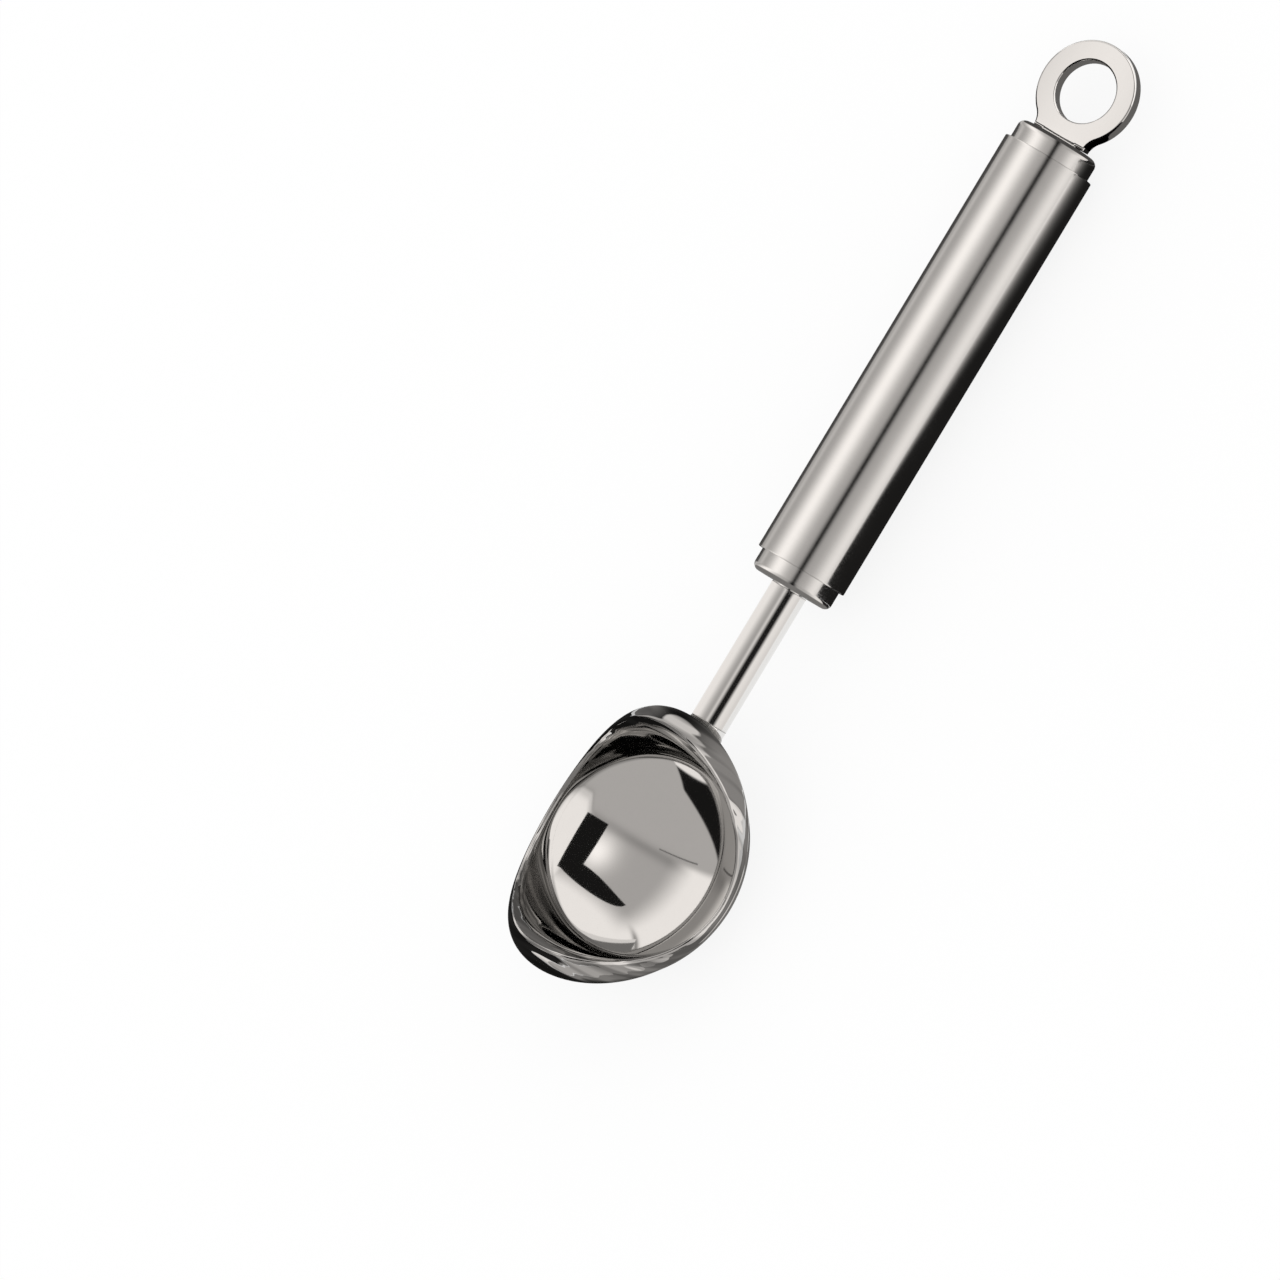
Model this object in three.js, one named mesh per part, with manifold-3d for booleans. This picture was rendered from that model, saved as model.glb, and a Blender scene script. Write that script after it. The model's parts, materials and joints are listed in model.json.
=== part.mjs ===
// An all-steel ice cream scoop: a cast bowl with a ridged lip, welded to a round rod that is held in a
// closed tubular handle with a flat hanging ring at its end.
//
// Millimetres, +Z up. The handle axis runs from the bowl towards +Y, and the bowl opens upwards.
// The scoop lies as it does on a table, on the belly of its bowl and the rear edge of its tube.
// The origin is on the table, under the middle of the scoop's box.

import * as THREE from 'three';
import { mergeVertices } from 'three/addons/utils/BufferGeometryUtils.js';
import Module from 'manifold-3d';

// Handle tube and the two caps that close it
const TUBE_DIAMETER = 20;
const TUBE_WALL = 0.9;
const TUBE_LENGTH = 97;
const TUBE_EDGE = 0.25;
const CAP_SHOWN = 4.4;
const CAP_EDGE = 1.5;
const FRONT_CAP_SEAT = 14;
const REAR_CAP_SEAT = 9;
const REAR_CAP_WALL = 1.5;
const REAR_CAP_FACE = 2;

// Rod between the handle and the bowl
const ROD_DIAMETER = 8;
const ROD_SHOWN = 32.1;
const ROD_TAIL = 5;
const ROD_END_EDGE = 0.6;

// Hanging ring, cut from plate, with a tang that passes through the rear cap
const RING_DIAMETER = 22;
const RING_HOLE = 13.3;
const RING_THICKNESS = 3;
const RING_EDGE = 0.45;
const NECK_WIDTH = 13;
const NECK_FILLET = 4.2;
const TANG_WIDTH = 9;
const TANG_TAIL = 4;

// Bowl: size of its rim in plan, heights of the rim and of the floor's edge at the sides above the
// handle axis, how far that oval floor stays inside the rim and lies towards the rod, the ball that
// shapes it, and its walls. What changes round the rim is given for the bowl's sides and its ends.
const BOWL_LENGTH = 59.5;
const BOWL_WIDTH = 46.7;
const BOWL_FULLNESS = 0.006;
const RIM_SIDE_HEIGHT = -3.9;
const RIM_END_HEIGHT = 8.2;
const FLOOR_EDGE_HEIGHT = -5.3;
const FLOOR_MARGIN_SIDE = 2.15;
const FLOOR_MARGIN_END = 9.35;
const FLOOR_SHIFT = 0.5;
const BALL_RADIUS = 33;
const BOWL_WALL = 2;
const WALL_SLOPE = THREE.MathUtils.degToRad(80);
const WALL_PULL = 0.25;

// Lip of the bowl: a narrow round ridge, a slope from the ridge out and down to the rim, a slope from
// it in and down to the wall, and a flare under the rim
const RIDGE_RADIUS = 0.5;
const RIDGE_TILT = THREE.MathUtils.degToRad(56);
const LIP_OUT_SIDE = 0.7;
const LIP_OUT_END = 4;
const LIP_RISE_SIDE = 1.4;
const LIP_RISE_END = 6.4;
const LIP_IN_SIDE = 0.4;
const LIP_IN_END = 2.4;
const LIP_DROP_SIDE = 1.2;
const LIP_DROP_END = 5;
const FLARE_SIDE = 1.6;
const FLARE_END = 5;
const FLARE_BACK_SIDE = 0.2;
const FLARE_BACK_END = 2.4;
const LIP_PULL = 0.42;

// Weld beads and clearances
const BOWL_WELD_LEG = 2.6;
const ROD_WELD_LEG = 2.4;
const RING_WELD_LEG = 1.8;
const PRESS_GAP = 0.12;
const SEAT_GAP = 0.3;

// Facets
const ROUND_SIDES = 48;
const EDGE_STEPS = 4;
const FINE_EDGE_STEPS = 2;
const RING_ARC_STEPS = 24;
const BOWL_TURNS = 96;
const FLOOR_STEPS = 6;
const WALL_STEPS = 6;
const RIDGE_STEPS = 4;
const LIP_STEPS = 5;
const HALVINGS = 40;
const JOINED_WITHIN = 1e-4;

// Places along the handle axis, measured from the tube's front edge
const tubeRadius = TUBE_DIAMETER / 2;
const boreRadius = tubeRadius - TUBE_WALL;
const capRadius = boreRadius - PRESS_GAP;
const rodRadius = ROD_DIAMETER / 2;
const frontFace = -CAP_SHOWN;
const rearFace = TUBE_LENGTH + CAP_SHOWN;
const bowlCentre = frontFace - ROD_SHOWN - BOWL_LENGTH / 2;

// Half the floor's width and length, the height of its lowest point, and the belly under it
const floorHalfWidth = BOWL_WIDTH / 2 - FLOOR_MARGIN_SIDE;
const floorHalfLength = BOWL_LENGTH / 2 - FLOOR_MARGIN_END;
const ballCentre = FLOOR_EDGE_HEIGHT + Math.sqrt(BALL_RADIUS ** 2 - floorHalfWidth ** 2);
const bellyHeight = ballCentre - BALL_RADIUS - BOWL_WALL;

// Finishes: the bowl, ring and rod are polished, the handle is satin, and the welds are left as laid
const polished = new THREE.MeshStandardMaterial({ color: 0xc9c8c4, roughness: 0.08, metalness: 1 });
const satin = new THREE.MeshStandardMaterial({ color: 0xc4c3bf, roughness: 0.22, metalness: 1 });
const weldSteel = new THREE.MeshStandardMaterial({ color: 0xa9a7a2, roughness: 0.4, metalness: 1 });

const wasm = await Module();
wasm.setup();

// A closed geometry as a solid that can be cut.
function solid(geometry) {
  const bare = geometry.clone();
  bare.deleteAttribute('normal');
  bare.deleteAttribute('uv');
  const merged = mergeVertices(bare, JOINED_WITHIN);
  return new wasm.Manifold(new wasm.Mesh({
    numProp: 3,
    vertProperties: new Float32Array(merged.attributes.position.array),
    triVerts: new Uint32Array(merged.index.array),
  }));
}

// A cut solid as a geometry again.
function geometryOf(manifold) {
  const mesh = manifold.getMesh();
  const geometry = new THREE.BufferGeometry();
  geometry.setAttribute('position', new THREE.BufferAttribute(mesh.vertProperties, 3));
  geometry.setIndex(new THREE.BufferAttribute(mesh.triVerts, 1));
  geometry.computeVertexNormals();
  return geometry;
}

function piece(name, geometry, material) {
  const mesh = new THREE.Mesh(geometry, material.clone());
  mesh.name = name;
  return mesh;
}

// A body turned about the handle axis, from [radius, place along the axis] points in the order
// that keeps the steel on the left.
function turned(points) {
  const outline = points.map(([radius, along]) => new THREE.Vector2(radius, along));
  return new THREE.LatheGeometry(outline, ROUND_SIDES);
}

// Points of a round edge of the given radius, from one heading to another, as [across, along].
function roundEdge(across, along, radius, from, to, steps = EDGE_STEPS) {
  return Array.from({ length: steps + 1 }, (_, step) => {
    const heading = from + ((to - from) * step) / steps;
    return [across + radius * Math.cos(heading), along + radius * Math.sin(heading)];
  });
}

const quarter = Math.PI / 2;

function handleTube() {
  const out = tubeRadius - TUBE_EDGE;
  const edge = (along, from) => roundEdge(
    out,
    along,
    TUBE_EDGE,
    from,
    from + quarter,
    FINE_EDGE_STEPS,
  );
  return turned([
    [boreRadius, 0],
    ...edge(TUBE_EDGE, -quarter),
    ...edge(TUBE_LENGTH - TUBE_EDGE, 0),
    [boreRadius, TUBE_LENGTH],
    [boreRadius, 0],
  ]);
}

// Solid plug, bored for the rod, standing out of the front of the tube
function frontCap() {
  const bore = rodRadius + PRESS_GAP;
  const inside = capRadius - CAP_EDGE;
  return turned([
    [bore, frontFace],
    ...roundEdge(inside, frontFace + CAP_EDGE, CAP_EDGE, -quarter, 0),
    [capRadius, FRONT_CAP_SEAT],
    [bore, FRONT_CAP_SEAT],
    [bore, frontFace],
  ]);
}

// Drawn cup, open towards the inside of the handle, with a slot in its face for the ring's tang
function rearCap() {
  const inside = capRadius - CAP_EDGE;
  const mouth = TUBE_LENGTH - REAR_CAP_SEAT;
  const cup = turned([
    [0, rearFace - REAR_CAP_FACE],
    [capRadius - REAR_CAP_WALL, rearFace - REAR_CAP_FACE],
    [capRadius - REAR_CAP_WALL, mouth],
    [capRadius, mouth],
    ...roundEdge(inside, rearFace - CAP_EDGE, CAP_EDGE, 0, quarter),
    [0, rearFace],
  ]);
  const slot = new THREE.BoxGeometry(
    TANG_WIDTH + 2 * PRESS_GAP,
    2 * (REAR_CAP_FACE + TANG_TAIL),
    RING_THICKNESS + 2 * PRESS_GAP,
  );
  slot.translate(0, rearFace, 0);
  return geometryOf(solid(cup).subtract(solid(slot)));
}

// Flat ring on a neck that flares into it, with shoulders on the rear cap and a tang through its slot
function hangingRing() {
  const radius = RING_DIAMETER / 2;
  const neck = NECK_WIDTH / 2;
  const tang = TANG_WIDTH / 2;
  const shoulder = SEAT_GAP;
  const centre = shoulder + Math.sqrt((radius + NECK_FILLET) ** 2 - (neck + NECK_FILLET) ** 2);
  const leave = Math.atan2(centre - shoulder, neck + NECK_FILLET);
  const shape = new THREE.Shape();
  shape.moveTo(tang, -REAR_CAP_FACE - TANG_TAIL);
  shape.lineTo(tang, shoulder);
  shape.lineTo(neck, shoulder);
  shape.absarc(neck + NECK_FILLET, shoulder, NECK_FILLET, Math.PI, Math.PI - leave, true);
  shape.absarc(0, centre, radius, -leave, Math.PI + leave, false);
  shape.absarc(-neck - NECK_FILLET, shoulder, NECK_FILLET, leave, 0, true);
  shape.lineTo(-tang, shoulder);
  shape.lineTo(-tang, -REAR_CAP_FACE - TANG_TAIL);
  shape.closePath();
  const hole = new THREE.Path();
  hole.absarc(0, centre, RING_HOLE / 2, 0, 2 * Math.PI, true);
  shape.holes.push(hole);
  const plate = new THREE.ExtrudeGeometry(shape, {
    depth: RING_THICKNESS - 2 * RING_EDGE,
    curveSegments: RING_ARC_STEPS,
    bevelSize: RING_EDGE,
    bevelOffset: -RING_EDGE,
    bevelThickness: RING_EDGE,
    bevelSegments: FINE_EDGE_STEPS,
  });
  plate.translate(0, rearFace, RING_EDGE - RING_THICKNESS / 2);
  return plate;
}

// Rim of the bowl in plan: an ellipse filled out a little towards its corners
function rimEdge(turn) {
  const share = 1 - BOWL_FULLNESS;
  return new THREE.Vector2(
    ((BOWL_WIDTH / 2) * (Math.cos(turn) - BOWL_FULLNESS * Math.cos(3 * turn))) / share,
    ((BOWL_LENGTH / 2) * (Math.sin(turn) + BOWL_FULLNESS * Math.sin(3 * turn))) / share,
  );
}

// A curve that leaves one point at a heading and reaches another at a heading, each pulled by a share
// of the distance between them.
function bend(from, fromHeading, to, toHeading, share) {
  const pull = share * from.distanceTo(to);
  const ahead = (heading) => new THREE.Vector2(pull * Math.cos(heading), pull * Math.sin(heading));
  return new THREE.CubicBezierCurve(
    from,
    from.clone().add(ahead(fromHeading)),
    to.clone().sub(ahead(toHeading)),
    to,
  );
}

// How far the ball leans at the edge of the bowl's oval floor, which lies a little off its middle
function floorLean(direction) {
  const across = direction.x / floorHalfWidth;
  const along = direction.y / floorHalfLength;
  const shift = FLOOR_SHIFT / floorHalfLength;
  const square = across ** 2 + along ** 2;
  const reach = (along * shift + Math.sqrt(square - (across * shift) ** 2)) / square;
  return Math.asin(reach / BALL_RADIUS);
}

// A side of the bowl at a depth under its inner face: a part of a ball, then a wall that bends up
// from the floor's edge to its top.
function bowlSide(depth, lean, top) {
  const radius = BALL_RADIUS + depth;
  const floor = Array.from({ length: FLOOR_STEPS + 1 }, (_, step) => {
    const angle = (lean * step) / FLOOR_STEPS;
    return new THREE.Vector2(radius * Math.sin(angle), ballCentre - radius * Math.cos(angle));
  });
  const edge = floor.pop();
  return { floor, wall: bend(edge, lean, top, WALL_SLOPE, WALL_PULL) };
}

// One upright section of the bowl, from its middle outwards, as [across, up] points. Growth moves
// its outer side outwards, for cutting what is fitted to the bowl.
function section(turn, growth = 0) {
  const sideToEnd = (side, end) => side + (end - side) * Math.sin(turn) ** 2;
  const edge = rimEdge(turn);
  const direction = edge.clone().normalize();
  const lean = floorLean(direction);
  const reach = edge.length();
  const height = sideToEnd(RIM_SIDE_HEIGHT, RIM_END_HEIGHT);
  const middle = reach - sideToEnd(LIP_OUT_SIDE, LIP_OUT_END);
  const top = height + sideToEnd(LIP_RISE_SIDE, LIP_RISE_END);
  const radius = RIDGE_RADIUS + growth;
  const ridgePoint = (tilt) => new THREE.Vector2(
    middle + radius * Math.sin(tilt),
    top - RIDGE_RADIUS + radius * Math.cos(tilt),
  );
  const ridge = (from) => Array.from({ length: RIDGE_STEPS }, (_, step) => (
    ridgePoint(from + ((RIDGE_TILT - from) * step) / RIDGE_STEPS)
  ));
  const rim = new THREE.Vector2(reach + growth, height);
  const outSlope = bend(ridgePoint(RIDGE_TILT), -RIDGE_TILT, rim, -quarter, LIP_PULL);
  const innerTop = new THREE.Vector2(
    middle - sideToEnd(LIP_IN_SIDE, LIP_IN_END),
    top - sideToEnd(LIP_DROP_SIDE, LIP_DROP_END),
  );
  const inSlope = bend(innerTop, WALL_SLOPE, ridgePoint(-RIDGE_TILT), RIDGE_TILT, LIP_PULL);
  const outerTop = new THREE.Vector2(
    rim.x - sideToEnd(FLARE_BACK_SIDE, FLARE_BACK_END),
    rim.y - sideToEnd(FLARE_SIDE, FLARE_END),
  );
  const flare = bend(outerTop, WALL_SLOPE, rim, quarter, LIP_PULL);
  const inner = bowlSide(0, lean, innerTop);
  const outer = bowlSide(BOWL_WALL + growth, lean, outerTop);
  return { direction, inner, inSlope, ridge, outSlope, flare, outer };
}

// Outer side of a section, from the ridge of the lip out to the rim and back to the middle of the floor
function outerSide({ outSlope, flare, outer }) {
  return [
    ...outSlope.getPoints(LIP_STEPS),
    ...flare.getPoints(LIP_STEPS).reverse().slice(1, -1),
    ...outer.wall.getPoints(WALL_STEPS).reverse(),
    ...outer.floor.reverse(),
  ];
}

// A body swept round the bowl's middle from sections that all start and end on its upright axis.
function swept(sectionAt) {
  const step = (2 * Math.PI) / BOWL_TURNS;
  const sections = Array.from({ length: BOWL_TURNS }, (_, index) => sectionAt(step * index));
  const rows = sections[0].points.length - 2;
  const first = sections[0].points[0];
  const last = sections[0].points[rows + 1];
  const vertices = [0, bowlCentre, first.y, 0, bowlCentre, last.y];
  const triangles = [];
  sections.forEach(({ direction, points }, turn) => {
    const next = (turn + 1) % BOWL_TURNS;
    points.slice(1, -1).forEach((point, row) => {
      vertices.push(point.x * direction.x, bowlCentre + point.x * direction.y, point.y);
      const here = 2 + turn * rows + row;
      const beside = 2 + next * rows + row;
      if (row === 0) triangles.push(0, here, beside);
      if (row === rows - 1) triangles.push(1, beside, here);
      else triangles.push(here, here + 1, beside, beside, here + 1, beside + 1);
    });
  });
  const geometry = new THREE.BufferGeometry();
  geometry.setAttribute('position', new THREE.Float32BufferAttribute(vertices, 3));
  geometry.setIndex(triangles);
  geometry.computeVertexNormals();
  return geometry;
}

function bowl() {
  return swept((turn) => {
    const cut = section(turn);
    const innerSide = [
      ...cut.inner.floor,
      ...cut.inner.wall.getPoints(WALL_STEPS).slice(0, -1),
      ...cut.inSlope.getPoints(LIP_STEPS).slice(0, -1),
    ];
    const points = [...innerSide, ...cut.ridge(-RIDGE_TILT), ...outerSide(cut)];
    return { direction: cut.direction, points };
  });
}

// The space that the bowl takes up, filled to its lip and grown by the seat gap
function bowlSpace() {
  const lid = new THREE.Vector2(0, RIM_END_HEIGHT + LIP_RISE_END + SEAT_GAP);
  return solid(swept((turn) => {
    const cut = section(turn, SEAT_GAP);
    return { direction: cut.direction, points: [lid, ...cut.ridge(0), ...outerSide(cut)] };
  }));
}

// Round bar from the front cap's far side to the bowl's wall, its end shaped to the wall
function rod() {
  const tail = FRONT_CAP_SEAT + ROD_TAIL;
  const bar = turned([
    [0, bowlCentre],
    [rodRadius, bowlCentre],
    [rodRadius, tail - ROD_END_EDGE],
    [rodRadius - ROD_END_EDGE, tail],
    [0, tail],
  ]);
  return geometryOf(solid(bar).subtract(bowlSpace()));
}

// A bead of concave section round the handle axis, its base at 0 and its height along the axis
function beadRing(radius, leg) {
  const outside = radius + leg;
  return turned([
    [radius, 0],
    [outside, 0],
    ...roundEdge(outside, leg, leg, -quarter, -2 * quarter).slice(1),
    [radius, 0],
  ]);
}

// Place and slope of the bowl's outer wall where the handle axis meets it
function wallAtAxis() {
  const { wall } = section(quarter).outer;
  let low = 0;
  let high = 1;
  for (let halving = 0; halving < HALVINGS; halving += 1) {
    const middle = (low + high) / 2;
    if (wall.getPoint(middle).y < 0) low = middle;
    else high = middle;
  }
  const heading = wall.getTangent(low);
  return { along: bowlCentre + wall.getPoint(low).x, slope: Math.atan2(heading.y, heading.x) };
}

// Bead round the rod that follows the slope of the bowl's wall
function bowlWeld() {
  const { along, slope } = wallAtAxis();
  const inside = rodRadius - BOWL_WELD_LEG / 2;
  const outside = rodRadius + BOWL_WELD_LEG;
  const root = -2 * BOWL_WALL;
  const bead = turned([
    [inside, root],
    [outside, root],
    ...roundEdge(outside, BOWL_WELD_LEG, BOWL_WELD_LEG, -quarter, -2 * quarter),
    [inside, BOWL_WELD_LEG],
    [inside, root],
  ]);
  bead.rotateX(slope - quarter);
  bead.translate(0, along, 0);
  const clear = rodRadius + PRESS_GAP;
  const passage = turned([
    [0, bowlCentre],
    [clear, bowlCentre],
    [clear, 0],
    [0, 0],
  ]);
  return geometryOf(solid(bead).subtract(bowlSpace()).subtract(solid(passage)));
}

// Bead round the rod on the inner face of the front cap
function rodWeld() {
  const bead = beadRing(rodRadius + PRESS_GAP, ROD_WELD_LEG);
  bead.translate(0, FRONT_CAP_SEAT + SEAT_GAP, 0);
  return bead;
}

// Straight bead along one face of the ring's tang, on the inner side of the rear cap
function ringWeld(side) {
  const shape = new THREE.Shape();
  shape.moveTo(0, 0);
  shape.lineTo(RING_WELD_LEG, 0);
  shape.absarc(RING_WELD_LEG, RING_WELD_LEG, RING_WELD_LEG, -quarter, -2 * quarter, true);
  shape.closePath();
  const bead = new THREE.ExtrudeGeometry(shape, {
    depth: TANG_WIDTH,
    curveSegments: EDGE_STEPS,
    bevelEnabled: false,
  });
  bead.translate(0, 0, -TANG_WIDTH / 2);
  bead.rotateY(-quarter);
  bead.rotateZ(Math.PI);
  bead.translate(0, rearFace - REAR_CAP_FACE - SEAT_GAP, RING_THICKNESS / 2 + SEAT_GAP);
  if (side < 0) bead.rotateY(Math.PI);
  return bead;
}

// The whole scoop about its handle axis
const scoop = new THREE.Group();
scoop.add(
  piece('bowl', bowl(), polished),
  piece('bowl_weld', bowlWeld(), weldSteel),
  piece('rod', rod(), polished),
  piece('front_cap', frontCap(), satin),
  piece('rod_weld', rodWeld(), weldSteel),
  piece('handle_tube', handleTube(), satin),
  piece('rear_cap', rearCap(), satin),
  piece('hanging_ring', hangingRing(), polished),
  piece('ring_weld_upper', ringWeld(1), weldSteel),
  piece('ring_weld_lower', ringWeld(-1), weldSteel),
);

// Lying on a table, the handle dips until the tube's rear edge is level with the belly.
scoop.rotation.x = -Math.atan2(-bellyHeight - tubeRadius, TUBE_LENGTH - bowlCentre);
const lying = new THREE.Group();
lying.add(scoop);
const box = new THREE.Box3().setFromObject(lying, true);
const middle = box.getCenter(new THREE.Vector3());
scoop.position.set(-middle.x, -middle.y, -box.min.z);

export default lying;
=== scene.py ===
"""Steel ice cream scoop, dressed for a studio picture on its packed CAD frame.

Every new piece is a surface worked out with numpy in the scoop's own frame: metres, Y along the
handle from the tube's front edge, Z up out of the bowl. It is then laid on the table as the CAD is.
"""

import json
import math

import bpy
import numpy as np
from bpy.props import FloatProperty, FloatVectorProperty, PointerProperty
from bpy.types import Operator, Panel, PropertyGroup
from mathutils import Matrix, Vector


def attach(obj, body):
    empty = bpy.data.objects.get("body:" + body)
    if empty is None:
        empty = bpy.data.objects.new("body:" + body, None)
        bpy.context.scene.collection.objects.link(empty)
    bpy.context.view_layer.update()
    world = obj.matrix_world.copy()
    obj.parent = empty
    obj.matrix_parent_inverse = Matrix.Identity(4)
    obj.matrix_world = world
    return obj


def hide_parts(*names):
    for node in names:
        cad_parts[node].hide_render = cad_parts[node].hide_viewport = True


bl_info = {
    "name": "Steel ice cream scoop",
    "version": (1, 0, 0),
    "blender": (4, 5, 0),
    "location": "View3D > Sidebar > Scoop",
    "description": "Builds a steel ice cream scoop from worked-out surfaces, with its finishes and studio",
    "category": "Object",
}

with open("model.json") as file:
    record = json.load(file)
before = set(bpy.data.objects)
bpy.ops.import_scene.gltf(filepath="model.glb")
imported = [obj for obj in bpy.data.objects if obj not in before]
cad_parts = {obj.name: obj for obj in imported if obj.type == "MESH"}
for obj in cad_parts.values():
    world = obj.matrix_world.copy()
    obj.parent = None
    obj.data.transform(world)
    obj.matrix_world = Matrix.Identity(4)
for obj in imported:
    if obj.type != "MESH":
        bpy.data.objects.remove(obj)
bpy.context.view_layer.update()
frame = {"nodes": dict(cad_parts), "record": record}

QUARTER = math.pi / 2
TURN = 2 * math.pi
ROUND_SIDES, ROD_SIDES, WELD_SIDES, BOWL_TURNS = 192, 96, 144, 360
HALVINGS, HALVED_TURN = 44, 0.9
LIP_FADE_ROWS = 14
FLARE_PAST_EDGE = 1.1
RING_FACE_MARGIN = 0.004
WELD_RIPPLES, WELD_RIPPLE_DEPTH = 26, 0.06
SMOOTH, TINY = 180, 1e-9


def own(group):
    """The scene's own settings of one group."""
    return getattr(bpy.context.scene, "scoop_" + group)


def setting(kind, **fixed):
    """A maker of settings of one kind, each from its name, description and default."""

    def make(name, description, *default):
        value = default if "size" in fixed else default[0]
        return kind(name=name, description=description, default=value, **fixed)

    return make


length = setting(FloatProperty, unit="LENGTH", subtype="DISTANCE", precision=5)
side_and_end = setting(FloatVectorProperty, size=2, unit="LENGTH", precision=5)
share = setting(FloatProperty, min=0.0, max=1.0, subtype="FACTOR")
angle = setting(FloatProperty, unit="ROTATION", subtype="ANGLE")
colour = setting(FloatVectorProperty, size=3, min=0.0, max=1.0, subtype="COLOR")


class ScoopHandleSizes(PropertyGroup):
    """Sizes of the handle tube, its two caps and the rod"""

    tube_diameter: length("Tube diameter", "Outer diameter of the handle tube", 0.020)
    tube_wall: length("Tube wall", "Thickness of the tube's wall", 0.0009)
    tube_length: length("Tube length", "Length of the handle tube", 0.097)
    tube_edge: length("Tube edge", "Radius of the tube's outer edges", 0.00025)
    cap_shown: length("Cap shown", "How far each cap stands out of the tube", 0.0044)
    cap_edge: length("Cap edge", "Radius of the caps' rounded edges", 0.0015)
    front_cap_seat: length("Front cap seat", "How far the front cap goes into the tube", 0.014)
    rear_cap_seat: length("Rear cap seat", "How far the rear cap goes into the tube", 0.009)
    rear_cap_wall: length("Rear cap wall", "Wall of the drawn rear cap", 0.0015)
    rear_cap_face: length("Rear cap face", "Thickness of the rear cap's face", 0.002)
    press_gap: length("Press gap", "Gap between pressed pieces", 0.00012)
    seat_gap: length("Seat gap", "Gap between pieces that sit on each other", 0.0003)
    rod_diameter: length("Rod diameter", "Diameter of the round rod", 0.008)
    rod_shown: length("Rod shown", "Rod between the front cap and the bowl's rim", 0.0321)
    rod_tail: length("Rod tail", "Rod past the front cap's inner face", 0.005)
    rod_end_edge: length("Rod end edge", "Bevel at the rod's tail", 0.0006)


class ScoopRingSizes(PropertyGroup):
    """Sizes of the hanging ring"""

    diameter: length("Ring diameter", "Outer diameter of the ring", 0.022)
    hole: length("Ring hole", "Diameter of the ring's hole", 0.0133)
    thickness: length("Ring thickness", "Thickness of the ring's plate", 0.003)
    edge: length("Ring edge", "Radius of the plate's rounded edges", 0.00045)
    neck_width: length("Neck width", "Width of the neck on the rear cap", 0.013)
    neck_fillet: length("Neck fillet", "Radius of the neck's flare", 0.0042)
    tang_width: length("Tang width", "Width of the tang inside the rear cap", 0.009)
    tang_tail: length("Tang tail", "Tang past the rear cap's face", 0.004)


class ScoopBowlSizes(PropertyGroup):
    """Sizes of the bowl and of the bead that joins it to the rod"""

    length: length("Bowl length", "Length over the rim", 0.0595)
    width: length("Bowl width", "Width over the rim", 0.0467)
    fullness: share("Bowl fullness", "How far the rim's oval is filled out towards its corners", 0.006)
    rim: side_and_end("Rim height", "Height of the rim over the handle axis", -0.0039, 0.0082)
    floor_edge: length("Floor edge height", "Height of the floor's edge at the bowl's sides", -0.0053)
    floor_margin: side_and_end("Floor margin", "How far the floor stays inside the rim", 0.00215, 0.00935)
    floor_shift: length("Floor shift", "How far the floor's edge lies towards the rod", 0.0005)
    ball_radius: length("Ball radius", "Radius of the ball that shapes the floor", 0.033)
    wall: length("Wall", "Thickness of the bowl's wall", 0.002)
    wall_slope: angle("Wall slope", "Slope of the wall under the lip", math.radians(80))
    wall_pull: share("Wall pull", "How round the wall bends up from the floor", 0.25)
    ridge_radius: length("Ridge radius", "Radius of the lip's ridge", 0.0005)
    ridge_tilt: angle("Ridge tilt", "How far the ridge's round goes to each side", math.radians(56))
    lip_out: side_and_end("Lip out", "How far the ridge stands inside the rim", 0.0007, 0.004)
    lip_rise: side_and_end("Lip rise", "How far the ridge stands above the rim", 0.0014, 0.0064)
    lip_in: side_and_end("Lip in", "Width of the slope from the ridge to the inner wall", 0.0004, 0.0024)
    lip_drop: side_and_end("Lip drop", "Depth of the slope from the ridge to the inner wall", 0.0012, 0.005)
    flare: side_and_end("Flare", "Height of the flare under the rim", 0.0016, 0.005)
    flare_back: side_and_end("Flare back", "How far the flare goes in under the rim", 0.0002, 0.0024)
    lip_pull: share("Lip pull", "How round the lip's slopes and flare are", 0.42)
    weld_leg: length("Weld leg", "Leg of the bead between the rod and the bowl", 0.0026)


class ScoopFinishes(PropertyGroup):
    """Colours and polish of the steel"""

    mirror: colour("Mirror steel", "Colour of the bowl", 0.62, 0.612, 0.6)
    polished: colour("Polished steel", "Colour of the rod and ring", 0.79, 0.78, 0.765)
    satin: colour("Satin steel", "Colour of the tube and caps", 0.77, 0.76, 0.745)
    weld: colour("Weld steel", "Colour of the weld beads", 0.62, 0.61, 0.59)
    polished_roughness: share("Polished roughness", "Roughness of the mirror polish", 0.045)
    satin_roughness: share("Satin roughness", "Roughness of the satin finish", 0.13)
    weld_roughness: share("Weld roughness", "Roughness of the weld beads", 0.38)


class ScoopStudio(PropertyGroup):
    """Camera, floor and light cards"""

    view_turn: angle("View turn", "How far the camera leans to the scoop's side", math.radians(29))
    picture_turn: angle("Picture turn", "Turn of the handle in the picture", math.radians(31.053))
    picture_width: length("Picture width", "Width of the picture at the scoop", 0.25859)
    picture_across: length("Picture across", "Middle of the picture right of the tube's front edge", -0.0325)
    picture_up: length("Picture up", "Middle of the picture above the tube's front edge", -0.01403)
    camera_distance: length("Camera distance", "Distance from the scoop to the camera", 2.2)
    floor_colour: colour("Floor colour", "Colour of the floor", 0.99, 0.99, 0.99)
    floor_shade: share("Floor shade", "How much of the scoop's shadow the floor keeps", 0.15)
    dome_radius: length("Dome radius", "Distance of the large light cards from the handle axis", 1.0)
    tent_radius: length("Tent radius", "Distance of the handle's light card from its axis", 0.06)


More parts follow.
